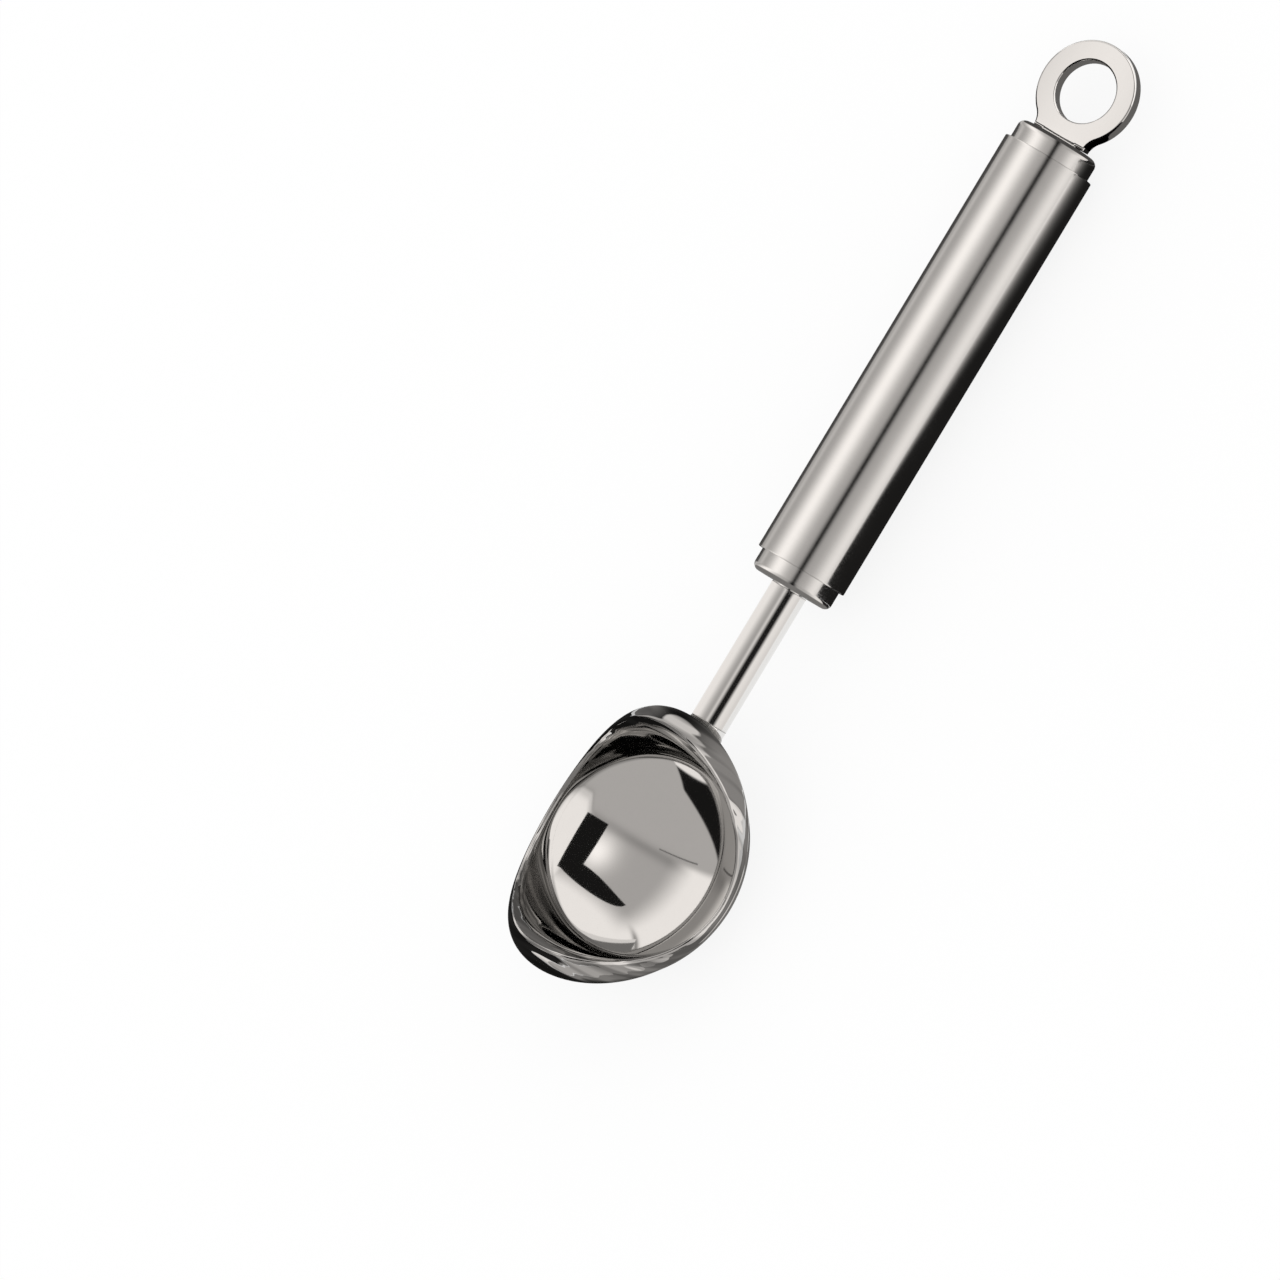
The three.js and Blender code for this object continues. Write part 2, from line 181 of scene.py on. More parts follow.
def place_on_table():
    """How the CAD lies: its upright and the scoop's own origin, both read from the ring's mount."""
    ring = own("ring")
    mount = next(m for m in frame["record"]["mounts"] if m["name"] == "ring_front")
    up = Vector(mount["axis"]).normalized()
    lean = Matrix(((1, 0, 0), (0, up.z, up.y), (0, -up.y, up.z)))
    land = ring_centre() + (ring.diameter + ring.hole) / 4
    origin = Vector(mount["pos_m"]) - lean @ Vector((0, land, ring.thickness / 2))
    return np.array(lean), np.array(origin)


def points_of(x, y, z):
    """Points from their three coordinates, spread over one grid."""
    return np.stack(np.broadcast_arrays(x, y, z), -1)


def laid(points):
    """Points of the scoop's own frame, turned and moved to where the CAD lies on the table."""
    lean, origin = place_on_table()
    return points @ lean.T + origin


def skin(grid, start=None, end=None, closed=False):
    """Vertices and faces of a grid of (turn, row) points that closes round its turns.

    A start or end point closes the first or last row with a fan, and closed joins the last row to the first.
    """
    turns, rows = grid.shape[:2]
    here = np.arange(turns * rows).reshape(turns, rows)
    beside = np.roll(here, -1, axis=0)
    if closed:
        here_up, beside_up = np.roll(here, -1, axis=1), np.roll(beside, -1, axis=1)
    else:
        here, here_up = here[:, :-1], here[:, 1:]
        beside, beside_up = beside[:, :-1], beside[:, 1:]
    faces = np.stack([here, beside, beside_up, here_up], -1).reshape(-1, 4).tolist()
    points = [grid.reshape(-1, 3)]
    ring = np.arange(turns) * rows
    if start is not None:
        pole = np.full(turns, turns * rows)
        faces += np.stack([pole, np.roll(ring, -1), ring], -1).tolist()
        points.append(np.reshape(start, (1, 3)))
    if end is not None:
        pole = np.full(turns, turns * rows + len(points) - 1)
        last = ring + rows - 1
        faces += np.stack([pole, last, np.roll(last, -1)], -1).tolist()
        points.append(np.reshape(end, (1, 3)))
    return np.concatenate(points), faces


def mesh_object(name, points, faces, sharp=40):
    """A smooth mesh object at the origin, its edges kept crisp past the given angle."""
    mesh = bpy.data.meshes.new(name)
    mesh.from_pydata(points.tolist(), [], faces)
    if mesh.validate(verbose=False):
        raise RuntimeError(f"{name} has faces that can't be used")
    mesh.shade_smooth()
    mesh.set_sharp_from_angle(angle=math.radians(sharp))
    mesh.update()
    thing = bpy.data.objects.new(name, mesh)
    bpy.context.scene.collection.objects.link(thing)
    return thing


def finished_piece(name, surface, node, material, sharp=40):
    """A piece that stands for a CAD node, laid on the table, with its finish."""
    points, faces = surface
    piece = mesh_object(name, laid(points), faces, sharp)
    piece.data.materials.append(material)
    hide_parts(node)
    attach(piece, "root")
    return piece


def turned(profile, sides=ROUND_SIDES):
    """A profile of (radius, along) points carried round: x = r cos a, y = along, z = r sin a."""
    a = np.arange(sides)[:, None] * TURN / sides
    r, along = profile[None, :, 0], profile[None, :, 1]
    return points_of(r * np.cos(a), along, r * np.sin(a))


def round_edge(across, along, radius, start, stop, steps):
    """Points of a circle's arc from one angle to another, as (across, along)."""
    a = np.linspace(start, stop, steps + 1)
    return np.stack([across + radius * np.cos(a), along + radius * np.sin(a)], -1)


def run(start, stop, steps):
    """Evenly spaced points of a straight line, without its last one."""
    s = np.arange(steps)[:, None] / steps
    return (1 - s) * np.array(start) + s * np.array(stop)


def handle_places():
    """Radii and places along the handle that several pieces share."""
    h = own("handle")
    tube = h.tube_diameter / 2
    bore = tube - h.tube_wall
    return {
        "tube": tube,
        "bore": bore,
        "cap": bore - h.press_gap,
        "rod": h.rod_diameter / 2,
        "front": -h.cap_shown,
        "rim": -h.cap_shown - h.rod_shown,
        "rear": h.tube_length + h.cap_shown,
        "bowl": -h.cap_shown - h.rod_shown - own("bowl").length / 2,
    }


def ring_centre():
    """Place of the ring's middle along the handle, where its circle touches both flares of the neck."""
    h, r = own("handle"), own("ring")
    flare = r.neck_fillet
    reach = math.sqrt((r.diameter / 2 + flare) ** 2 - (r.neck_width / 2 + flare) ** 2)
    return handle_places()["rear"] + h.seat_gap + reach


def tube_surface():
    """A closed profile of bore, two rounded ends and outer wall, carried round the handle axis."""
    h, p = own("handle"), handle_places()
    out, e = p["tube"] - h.tube_edge, h.tube_edge
    near = round_edge(out, e, e, -QUARTER, 0, 8)
    far = round_edge(out, h.tube_length - e, e, 0, QUARTER, 8)
    profile = np.concatenate([
        run((p["bore"], 0), near[0], 2),
        near[:-1],
        run(near[-1], far[0], 60),
        far[:-1],
        run(far[-1], (p["bore"], h.tube_length), 2),
        run((p["bore"], h.tube_length), (p["bore"], 0), 12),
    ])
    return skin(turned(profile), closed=True)


def front_cap_surface():
    """A bored plug: a closed profile of bore, face, rounded edge, side and inner face, carried round."""
    h, p = own("handle"), handle_places()
    bore = p["rod"] + h.press_gap
    e = h.cap_edge
    edge = round_edge(p["cap"] - e, p["front"] + e, e, -QUARTER, 0, 24)
    seat = h.front_cap_seat
    profile = np.concatenate([
        run((bore, p["front"]), edge[0], 12),
        edge[:-1],
        run(edge[-1], (p["cap"], seat), 16),
        run((p["cap"], seat), (bore, seat), 6),
        run((bore, seat), (bore, p["front"]), 8),
    ])
    return skin(turned(profile), closed=True)


def rear_cap_surface():
    """A drawn cup, carried round the handle axis, whose face runs inwards to the tang's slot.

    On the face the radius goes from the cup's circle to the slot's outline, which in the direction a is
    the smaller of half its width over |cos a| and half its height over |sin a|.
    """
    h, r, p = own("handle"), own("ring"), handle_places()
    e = h.cap_edge
    inside = p["cap"] - h.rear_cap_wall
    mouth = h.tube_length - h.rear_cap_seat
    under = p["rear"] - h.rear_cap_face
    edge = round_edge(p["cap"] - e, p["rear"] - e, e, 0, QUARTER, 24)
    outside = np.concatenate([
        run((inside, under), (inside, mouth), 8),
        run((inside, mouth), (p["cap"], mouth), 3),
        run((p["cap"], mouth), edge[0], 12),
        edge,
    ])
    sides = 2 * ROUND_SIDES
    a = np.arange(sides)[:, None] * TURN / sides
    wide, high = r.tang_width / 2 + h.press_gap, r.thickness / 2 + h.press_gap
    cosine, sine = np.cos(a), np.sin(a)
    slot = np.minimum(wide / np.maximum(np.abs(cosine), TINY), high / np.maximum(np.abs(sine), TINY))
    s = np.linspace(0, 1, 13)
    face = edge[-1, 0] + (slot - edge[-1, 0]) * s[1:]
    back = slot + (inside - slot) * s[:-1]
    sheets = [points_of(r * cosine, y, r * sine) for r, y in ((face, p["rear"]), (back, under))]
    return skin(np.concatenate([turned(outside, sides), *sheets], 1), closed=True)


def ring_outline():
    """The plate's outline, anticlockwise from the tang's foot: tang, shoulder, flare, circle and back."""
    h, r = own("handle"), own("ring")
    rear, centre = handle_places()["rear"], ring_centre()
    foot = rear - h.rear_cap_face - r.tang_tail
    shoulder = rear + h.seat_gap
    tang, neck, flare = r.tang_width / 2, r.neck_width / 2, r.neck_fillet
    leave = math.atan2(centre - shoulder, neck + flare)
    past_edge = math.pi - FLARE_PAST_EDGE * r.edge / flare
    bend = round_edge(neck + flare, shoulder, flare, past_edge, math.pi - leave, 36)
    circle = round_edge(0, centre, r.diameter / 2, -leave, math.pi + leave, 300)
    right = np.concatenate([
        run((tang, foot), (tang, shoulder), 12),
        run((tang, shoulder), (neck, shoulder), 4),
        [(neck, shoulder)],
        bend[:-1],
    ])
    left = (right * (-1, 1))[::-1]
    return np.concatenate([right, circle, left, run((-tang, foot), (tang, foot), 12)[1:]]), centre


def ring_surface():
    """A plate with a hole: its section, with four rounded edges, is carried along the outline.

    Each outline point is paired with the point of the hole in the same direction from the ring's middle.
    The outline's mitre is the sum of the two neighbouring edge normals over one plus their product.
    """
    r = own("ring")
    outline, centre = ring_outline()
    step = np.roll(outline, -1, 0) - outline
    normal = np.stack([step[:, 1], -step[:, 0]], -1)
    normal /= np.linalg.norm(normal, axis=1, keepdims=True)
    before = np.roll(normal, 1, 0)
    mitre = (normal + before) / (1 + (normal * before).sum(1, keepdims=True))
    to_hole = outline - (0, centre)
    to_hole /= np.linalg.norm(to_hole, axis=1, keepdims=True)
    hole = to_hole * r.hole / 2 + (0, centre)
    e, half = r.edge, r.thickness / 2
    a = np.linspace(0, QUARTER, 9)
    inset, rise = e * (1 - np.cos(a)), half - e + e * np.sin(a)
    side = np.linspace(-(half - e), half - e, 5)[1:-1]
    outer_inset = np.concatenate([inset[::-1], 0 * side, inset])
    height = np.concatenate([-rise[::-1], side, rise])
    outer = outline[:, None, :] - mitre[:, None, :] * outer_inset[None, :, None]
    inner = hole[:, None, :] + to_hole[:, None, :] * outer_inset[None, :, None]
    s = np.linspace(0, 1, 8)
    s[[0, -1]] = RING_FACE_MARGIN, 1 - RING_FACE_MARGIN
    s = s[None, :, None]
    top = outer[:, -1:] * (1 - s) + inner[:, -1:] * s
    bottom = inner[:, :1] * (1 - s) + outer[:, :1] * s
    flat = np.full(s.shape[1], half)
    across = np.concatenate([outer, top, inner[:, ::-1], bottom], 1)
    up = np.concatenate([height, flat, height[::-1], -flat])
    grid = points_of(across[..., 0], across[..., 1], up[None, :])
    return skin(grid[::-1], closed=True)


def bend(start, start_angle, stop, stop_angle, pull_share, s):
    """A curve that leaves one point at an angle and reaches another, pulled by a share of their distance.

    It is the sum of (1-s)^3, 3(1-s)^2 s, 3(1-s)s^2 and s^3 times the two points and their pulled neighbours.
    """
    pull = pull_share * np.linalg.norm(stop - start, axis=-1, keepdims=True)
    second = start + pull * np.stack([np.cos(start_angle), np.sin(start_angle)], -1)
    third = stop - pull * np.stack([np.cos(stop_angle), np.sin(stop_angle)], -1)
    s = s[..., None]
    r = 1 - s
    return r ** 3 * start + 3 * r * r * s * second + 3 * r * s * s * third + s ** 3 * stop


def bowl_facts(turn, growth=0.0):
    """What a section of the bowl at a turn starts from: direction, floor's lean, rim, ridge and wall tops.

    The rim in plan is an ellipse with a small third wave. Sizes go from the sides to the ends with the
    square of the turn's sine. The floor's edge is an oval moved towards the rod, met along the direction.
    """
    b = own("bowl")
    f = b.fullness
    edge = np.stack([
        b.width / 2 * (np.cos(turn) - f * np.cos(3 * turn)) / (1 - f),
        b.length / 2 * (np.sin(turn) + f * np.sin(3 * turn)) / (1 - f),
    ], -1)
    reach = np.linalg.norm(edge, axis=-1)
    direction = edge / reach[..., None]
    ends = np.sin(turn) ** 2

    def mixed(sizes):
        return sizes[0] + (sizes[1] - sizes[0]) * ends

    half_width, half_length = b.width / 2 - b.floor_margin[0], b.length / 2 - b.floor_margin[1]
    across = direction[..., 0] / half_width
    along = direction[..., 1] / half_length
    shift = b.floor_shift / half_length
    square = across ** 2 + along ** 2
    floor_reach = (along * shift + np.sqrt(square - (across * shift) ** 2)) / square
    rim = np.stack([reach + growth, mixed(b.rim)], -1)
    middle = reach - mixed(b.lip_out)
    top = mixed(b.rim) + mixed(b.lip_rise)
    return {
        "direction": direction,
        "lean": np.arcsin(floor_reach / b.ball_radius),
        "rim": rim,
        "ridge": np.stack([middle, top - b.ridge_radius], -1),
        "inner_top": np.stack([middle - mixed(b.lip_in), top - mixed(b.lip_drop)], -1),
        "outer_top": rim - np.stack([mixed(b.flare_back), mixed(b.flare)], -1),
    }


def ridge_point(facts, tilt):
    """A point of the ridge's round: its middle plus its radius towards the tilt from straight up."""
    radius = own("bowl").ridge_radius
    return facts["ridge"] + radius * np.stack([np.sin(tilt), np.cos(tilt)], -1)


def ball_point(depth, a):
    """A point of the ball that shapes the floor, at angle a from straight down and a depth under its face.

    The ball's middle is where the floor's edge at the bowl's sides comes to its given height.
    """
    b = own("bowl")
    half_width = b.width / 2 - b.floor_margin[0]
    middle = b.floor_edge + math.sqrt(b.ball_radius ** 2 - half_width ** 2)
    radius = b.ball_radius + depth
    return np.stack([radius * np.sin(a), middle - radius * np.cos(a)], -1)


def wall_curve(facts, depth, top, s):
    """The wall that bends up from the floor's edge to its top."""
    b = own("bowl")
    edge = ball_point(depth, facts["lean"])
    return bend(edge, facts["lean"], top, b.wall_slope, b.wall_pull, s)


def outside_curve(turn, s, growth=0.0):
    """The bowl's outer side above its floor: the wall for s up to a half, then the flare up to the rim."""
    b = own("bowl")
    facts = bowl_facts(turn, growth)
    top = facts["outer_top"]
    wall = wall_curve(facts, b.wall + growth, top, np.minimum(2 * s, 1.0))
    flare = bend(top, b.wall_slope, facts["rim"], QUARTER, b.lip_pull, np.maximum(2 * s - 1, 0.0))
    return np.where(s[..., None] <= 0.5, wall, flare), facts["direction"]


def bowl_surface():
    """Upright sections round the bowl's middle: ball, wall, ridged lip, flare, outer wall and outer ball.

    A section point (across, up) at a turn becomes x = across dx, y = middle + across dy, z = up, where
    (dx, dy) is the direction of the rim. Also gives each point's share of the lip, from nought on the floor
    to one on the ridge, and its place round the rim and along the section.
    """
    b = own("bowl")
    turn = np.arange(BOWL_TURNS)[:, None] * TURN / BOWL_TURNS
    facts = bowl_facts(turn)

    def steps(count, start=0.0, stop=1.0):
        return np.linspace(start, stop, count)[None, :] + 0 * turn

    tilt = b.ridge_tilt
    inner_floor = ball_point(0.0, facts["lean"] * steps(40, 0.02, 1.0))
    inner_wall = wall_curve(facts, 0.0, facts["inner_top"], steps(34))[:, 1:]
    in_end, out_end = ridge_point(facts, steps(1, -tilt)), ridge_point(facts, steps(1, tilt))
    in_slope = bend(facts["inner_top"], b.wall_slope, in_end, tilt, b.lip_pull, steps(24))[:, 1:]
    ridge = ridge_point(facts, steps(15, -tilt, tilt))[:, 1:]
    out_slope = bend(out_end, -tilt, facts["rim"], -QUARTER, b.lip_pull, steps(30))[:, 1:]
    outside = outside_curve(turn + steps(44, 0.0, 0.0), steps(44, 1.0, 0.0))[0][:, 1:]
    outer_floor = ball_point(b.wall, facts["lean"] * steps(24, 1.0, 0.03))[:, 1:]
    parts = (inner_floor, inner_wall, in_slope, ridge, out_slope, outside, outer_floor)
    section = np.concatenate(parts, 1)
    rows = [part.shape[1] for part in parts]
    belongs = np.concatenate([
        np.zeros(rows[0] - 1),
        np.full(rows[1] + 1, 0.5),
        np.linspace(0.5, 1.0, rows[2]),
        np.ones(rows[3] + rows[4]),
        np.clip(1 - np.arange(rows[5] + rows[6]) / LIP_FADE_ROWS, 0, 1),
    ])
    middle = handle_places()["bowl"]
    across, d = section[..., 0], facts["direction"]
    grid = points_of(across * d[..., 0], middle + across * d[..., 1], section[..., 1])
    start = (0, middle, ball_point(0.0, 0.0)[1])
    end = (0, middle, ball_point(b.wall, 0.0)[1])
    points, faces = skin(grid, start, end)
    lip_share = np.concatenate([np.tile(belongs, BOWL_TURNS), [0.0, 0.0]])
    steps_along = np.linalg.norm(np.diff(section, axis=1, prepend=section[:, :1]), axis=-1)
    rim = facts["rim"][..., :1] * d
    rim_place = points_of(rim[..., 0], rim[..., 1], np.cumsum(steps_along, 1)).reshape(-1, 3)
    return (points, faces), lip_share, np.concatenate([rim_place, np.zeros((2, 3))])


def wall_at(x, z, growth):
    """Place along the handle of the bowl's outer side at x and z, by halving the turn and the height."""
    low_turn, high_turn = np.full_like(x, QUARTER - HALVED_TURN), np.full_like(x, QUARTER + HALVED_TURN)
    for _ in range(HALVINGS):
        turn = (low_turn + high_turn) / 2
        low, high = np.zeros_like(x), np.ones_like(x)
        for _ in range(HALVINGS):
            s = (low + high) / 2
            point, direction = outside_curve(turn, s, growth)
            below = point[..., 1] < z
            low, high = np.where(below, s, low), np.where(below, high, s)
        right = point[..., 0] * direction[..., 0] > x
        low_turn, high_turn = np.where(right, turn, low_turn), np.where(right, high_turn, turn)
    return handle_places()["bowl"] + point[..., 0] * direction[..., 1]


def rod_surface():
    """A round bar from the bowl's wall, to whose slope its end is shaped, to its bevelled tail."""
    h, p = own("handle"), handle_places()
    a = np.arange(ROD_SIDES)[:, None] * TURN / ROD_SIDES
    tail = h.front_cap_seat + h.rod_tail
    r = np.linspace(0.15, 1.0, 6)[None, :] * p["rod"]
    x, z = r * np.cos(a), r * np.sin(a)
    end_face = np.stack([x, wall_at(x, z, h.seat_gap), z], -1)
    s = np.linspace(0, 1, 60)[1:]
    along = end_face[:, -1:, 1] + (tail - h.rod_end_edge - end_face[:, -1:, 1]) * s
    x, z = p["rod"] * np.cos(a), p["rod"] * np.sin(a)
    bar = points_of(x, along, z)
    bevel = turned(np.array([(p["rod"] - h.rod_end_edge, tail), (p["rod"] / 2, tail)]), ROD_SIDES)
    middle = wall_at(np.zeros(1), np.zeros(1), h.seat_gap)[0]
    return skin(np.concatenate([end_face, bar, bevel], 1), (0, middle, 0), (0, tail, 0))


def bowl_weld_surface():
    """A hollow bead round the rod: at radius rod + w it stands over the bowl's wall by the hollow's height.

    Across the bead w = leg (1 - cos a) and its height is leg (1 - sin a), for a from 0 at the rod to a
    quarter turn at the wall, with a low ripple round it as the bead was laid. Its foot follows the wall.
    """
    h, b, p = own("handle"), own("bowl"), handle_places()
    round_rod = np.arange(WELD_SIDES)[:, None] * TURN / WELD_SIDES
    a = np.linspace(0, QUARTER, 22)[None, :]
    inside = p["rod"] + h.press_gap
    over = inside + b.weld_leg * (1 - np.cos(a))
    ripple = WELD_RIPPLE_DEPTH * (1 + np.cos(WELD_RIPPLES * round_rod)) * np.sin(2 * a)
    height = b.weld_leg * (1 - np.sin(a)) * (1 - ripple)
    foot = np.linspace(1, 0, 8)[None, 1:]
    radius = np.concatenate([over, inside + b.weld_leg * foot], 1) + 0 * round_rod
    above = np.concatenate([height, 0 * foot + 0 * round_rod], 1)
    x, z = radius * np.cos(round_rod), radius * np.sin(round_rod)
    grid = np.stack([x, wall_at(x, z, h.seat_gap) + above, z], -1)
    return skin(grid[::-1], closed=True)


class NodeTree:
    """Small helper that places and joins nodes in a tree."""

    def __init__(self, tree):
        self.tree = tree

    def add(self, kind, values=None, **settings):
        """A node with its settings, and values or links for its inputs."""
        node = self.tree.nodes.new(kind)
        for name, value in settings.items():
            setattr(node, name, value)
        for name, value in (values or {}).items():
            self.put(node.inputs[name], value)
        return node

    def put(self, socket, value):
        """Links an output socket to an input, or sets the input's value."""
        if isinstance(value, bpy.types.NodeSocket):
            self.tree.links.new(value, socket)
        else:
            socket.default_value = value

    def math(self, operation, *values):
        """A Math node's result."""
        node = self.add("ShaderNodeMath", operation=operation)
        for socket, value in zip(node.inputs, values):
            self.put(socket, value)
        return node.outputs[0]

    def remap(self, value, low, high, to_low, to_high):
        """A value moved from one range to another, held within it."""
        node = self.add("ShaderNodeMapRange", {
            "Value": value, "From Min": low, "From Max": high, "To Min": to_low, "To Max": to_high
        })
        return node.outputs["Result"]

    def noise(self, vector, scale, detail, roughness=0.5):
        """A Noise Texture's value."""
        return self.add("ShaderNodeTexNoise", {
            "Vector": vector, "Scale": scale, "Detail": detail, "Roughness": roughness
        }).outputs["Fac"]

    def scaled(self, colour, by):
        """A colour or vector times a value."""
        node = self.add("ShaderNodeVectorMath", operation="SCALE")
        self.put(node.inputs[0], colour)
        self.put(node.inputs["Scale"], by)
        return node.outputs[0]

    def surface(self, shader):
        """Makes a shader the material's surface."""
        self.put(self.add("ShaderNodeOutputMaterial").inputs["Surface"], shader.outputs[0])


def new_material(name):
    """A new material and its empty node tree."""
    material = bpy.data.materials.new(name)
    material.use_nodes = True
    material.node_tree.nodes.clear()
    return material, NodeTree(material.node_tree)


HAIRLINE_CREST, HAIRLINE_ROUGHNESS, HAIRLINE_DEPTH = (0.74, 0.8), 0.03, 0.6
LEAST_ROUGHNESS = 0.012
LINE_DEPTH = 0.00002
# Painted dark reflection on the bowl's lip: the streak noise's crest, and the least darkening painted on the
# ridge.
PAINTED_DARK_CREST, PAINTED_DARK_LEAST = (0.42, 0.58), 0.1
MARKS_SOCKETS = (
    ("INPUT", "Vector", ("Position", "Line Scale")),
    ("INPUT", "Float", ("Cloud Scale", "Roughness", "Roughness Spread", "Tone Spread")),
    ("INPUT", "Color", ("Colour",)),
    ("OUTPUT", "Color", ("Colour",)),
    ("OUTPUT", "Float", ("Roughness", "Height")),
)


def steel_marks_group():
    """Marks of finishing and use on steel: fine lines, faint cloudiness and a few hairline scratches.

    Lines are noise stretched by the line scale, cloudiness is broad noise, and scratches are the thin crests
    of stretched noise that is turned across the lines.
    """
    if "steel_marks" in bpy.data.node_groups:
        return bpy.data.node_groups["steel_marks"]
    group = bpy.data.node_groups.new("steel_marks", "ShaderNodeTree")
    for way, kind, labels in MARKS_SOCKETS:
        for label in labels:
            group.interface.new_socket(name=label, in_out=way, socket_type="NodeSocket" + kind)
    n = NodeTree(group)
    given, out = n.add("NodeGroupInput").outputs, n.add("NodeGroupOutput").inputs
    stretched = n.add("ShaderNodeVectorMath", operation="MULTIPLY")
    n.put(stretched.inputs[0], given["Position"])
    n.put(stretched.inputs[1], given["Line Scale"])
    lines = n.noise(stretched.outputs[0], 1.0, 4.0, 0.65)
    cloud = n.noise(given["Position"], given["Cloud Scale"], 3.0, 0.55)
    turned_back = n.add("ShaderNodeMapping", {
        "Vector": given["Position"], "Rotation": (0.3, 0.5, 0.9), "Scale": (900.0, 45.0, 900.0)
    })
    hairline = n.remap(n.noise(turned_back.outputs[0], 1.0, 1.0), *HAIRLINE_CREST, 0.0, 1.0)
    mixed = n.math("ADD", n.math("SUBTRACT", lines, 0.5), n.math("SUBTRACT", cloud, 0.5))
    rough = n.math("MULTIPLY_ADD", mixed, given["Roughness Spread"], given["Roughness"])
    rough = n.math("MULTIPLY_ADD", hairline, HAIRLINE_ROUGHNESS, rough)
    n.put(out["Roughness"], n.math("MAXIMUM", rough, LEAST_ROUGHNESS))
    tone = n.math("MULTIPLY_ADD", mixed, given["Tone Spread"], 1.0)
    n.put(out["Colour"], n.scaled(given["Colour"], tone))
    n.put(out["Height"], n.math("MULTIPLY_ADD", hairline, -HAIRLINE_DEPTH, lines))
    return group


def handle_position(n):
    """Object coordinates turned so that Y runs along the handle axis."""
    lean, _ = place_on_table()
    where = n.add("ShaderNodeTexCoord").outputs["Object"]
    tilt = math.atan2(lean[1][2], lean[2][2])
    return n.add("ShaderNodeMapping", {"Vector": where, "Rotation": (tilt, 0.0, 0.0)}).outputs[0]


def steel(name, tint, roughness, line_scale, marks, bump, wave=None):
    """A steel finish: marks feed its colour, roughness and bump.

    Wave adds what hand polishing leaves, by the piece's own lip attribute: a low, broad unevenness and
    streaks along the rim, as bumps. It also paints dark reflection into the lip's colour, in those streaks.
    """
    if name in bpy.data.materials:
        return bpy.data.materials[name]
    material, n = new_material(name)
    where = handle_position(n)
    group = n.add("ShaderNodeGroup", node_tree=steel_marks_group())
    for label, value in {
        "Position": where, "Line Scale": line_scale, "Cloud Scale": marks["cloud"], "Roughness": roughness,
        "Roughness Spread": marks["rough"], "Tone Spread": marks["tone"], "Colour": (*tint, 1.0),
    }.items():
        n.put(group.inputs[label], value)
    shader = n.add("ShaderNodeBsdfPrincipled", {"Metallic": 1.0})
    n.put(shader.inputs["Base Color"], group.outputs["Colour"])
    n.put(shader.inputs["Roughness"], group.outputs["Roughness"])
    height = group.outputs["Height"]
    normal = n.add("ShaderNodeBump", {"Strength": bump, "Distance": LINE_DEPTH, "Height": height}).outputs[0]
    if wave:
        lip = n.add("ShaderNodeAttribute", attribute_name="lip").outputs["Fac"]
        broad = n.noise(where, wave["scale"], 1.0)
        place = n.add("ShaderNodeAttribute", attribute_name="rim_place").outputs["Vector"]
        stretched = n.add("ShaderNodeMapping", {"Vector": place, "Scale": wave["streaks"]}).outputs[0]
        streak_and_painted_dark = n.noise(stretched, 1.0, 1.0)
        outer = n.remap(lip, 0.5, 1.0, 0.0, 1.0)
        height = n.math("MULTIPLY", n.math("MULTIPLY_ADD", streak_and_painted_dark, wave["streak_share"], broad), outer)
        normal = n.add("ShaderNodeBump", {
            "Strength": 1.0, "Distance": wave["depth"], "Height": height, "Normal": normal
        }).outputs[0]
        # Painted dark reflection: the lip's colour is darkened in streaks, most where the streak noise is
        # low, and not on the floor.
        least = n.math("MULTIPLY", outer, PAINTED_DARK_LEAST)
        painted_dark_reflection = n.remap(streak_and_painted_dark, *PAINTED_DARK_CREST, wave["dim"], least)
        painted_dark_reflection = n.math("MULTIPLY", painted_dark_reflection, n.remap(lip, 0.0, 0.5, 0.0, 1.0))
        painted_dark_colour = n.scaled(group.outputs["Colour"], n.math("SUBTRACT", 1.0, painted_dark_reflection))
        n.put(shader.inputs["Base Color"], painted_dark_colour)
    n.put(shader.inputs["Normal"], normal)
    n.surface(shader)
    return material


def bowl_steel():
    """Mirror polish of the bowl, a little uneven round its lip, with dark reflection painted into the lip's
    colour.
    """
    f = own("finishes")
    marks = {"cloud": 55.0, "rough": 0.03, "tone": 0.03}
    # dim is the most dark reflection painted into the lip's colour.
    wave = {
        "scale": 95.0, "depth": 0.0006, "streaks": (32.0, 32.0, 340.0), "streak_share": 0.6, "dim": 0.55
    }
    return steel("bowl_polish", f.mirror, f.polished_roughness, (700, 700, 700), marks, 0.03, wave)


def bar_steel():
    """Mirror polish of the rod and the ring, with fine lines along the handle."""
    f = own("finishes")
    marks = {"cloud": 90.0, "rough": 0.04, "tone": 0.03}
    return steel("bar_polish", f.polished, f.polished_roughness + 0.02, (1500, 60, 1500), marks, 0.05)


def handle_steel():
    """Satin finish of the tube and caps, with fine lines round the handle."""
    f = own("finishes")
    marks = {"cloud": 70.0, "rough": 0.08, "tone": 0.05}
    return steel("handle_satin", f.satin, f.satin_roughness, (70, 5200, 70), marks, 0.12)


def weld_steel():
    """Weld beads, brushed but not polished."""
    f = own("finishes")
    marks = {"cloud": 420.0, "rough": 0.25, "tone": 0.22}
    return steel("weld_brushed", f.weld, f.weld_roughness, (1300, 1300, 1300), marks, 0.5)


class SCOOP_OT_bowl(Operator):
    """Make the polished bowl with its ridged lip"""

    bl_idname = "scoop.bowl"
    bl_label = "Bowl"

    def execute(self, context):
        surface, lip_share, rim_place = bowl_surface()
        piece = finished_piece("scoop_bowl", surface, "bowl", bowl_steel(), SMOOTH)
        lip = piece.data.attributes.new("lip", "FLOAT", "POINT")
        lip.data.foreach_set("value", lip_share.astype(np.float32))
        place = piece.data.attributes.new("rim_place", "FLOAT_VECTOR", "POINT")
        place.data.foreach_set("vector", rim_place.astype(np.float32).ravel())
        return {"FINISHED"}


